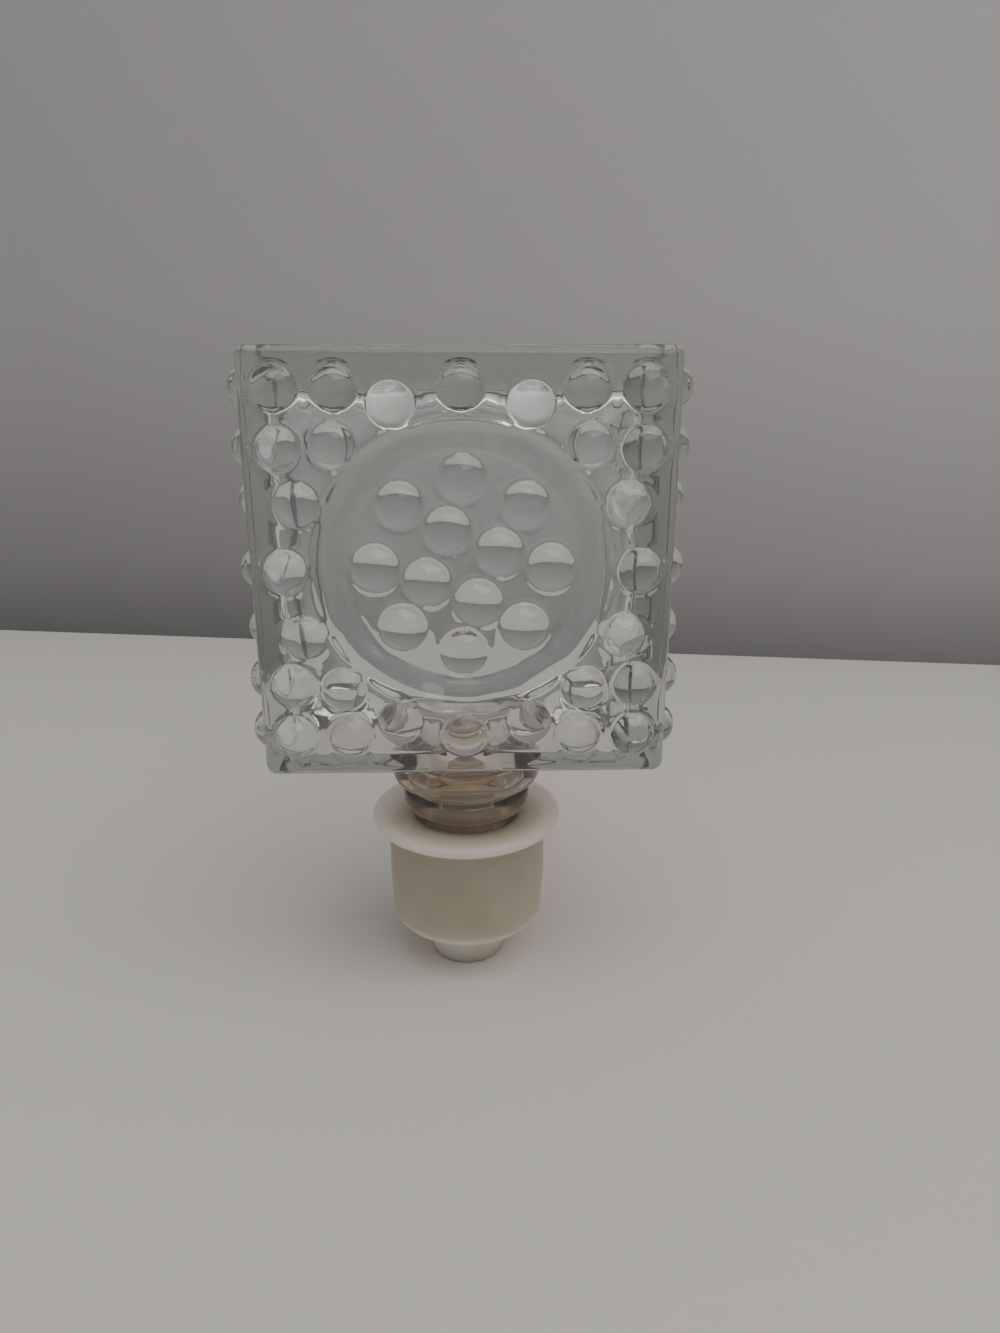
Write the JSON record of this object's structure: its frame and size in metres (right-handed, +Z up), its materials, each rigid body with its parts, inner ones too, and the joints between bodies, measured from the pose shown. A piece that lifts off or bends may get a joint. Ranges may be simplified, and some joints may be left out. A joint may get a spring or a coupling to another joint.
{
  "type": "decanter stopper",
  "caption": "Clear blown glass decanter stopper with a hollow square head, round bosses, a sunk medallion and a hollow peg in a milky plastic sealing collar.",
  "frame": {"origin": "middle of the foot, the flat round end under the plastic collar that the stopper stands on", "axes": "+Z up along the peg, the patterned front of the head looks along -Y, +X to the right seen from the front"},
  "size_m": [0.046, 0.0226, 0.0727],
  "materials": {
    "clear_glass": "clear, fire polished",
    "milky_plastic": "milky, faintly see-through, satin"
  },
  "bodies": {
    "root": {"glass_stopper": "clear_glass", "sealing_collar": "milky_plastic"}
  },
  "joints": []
}
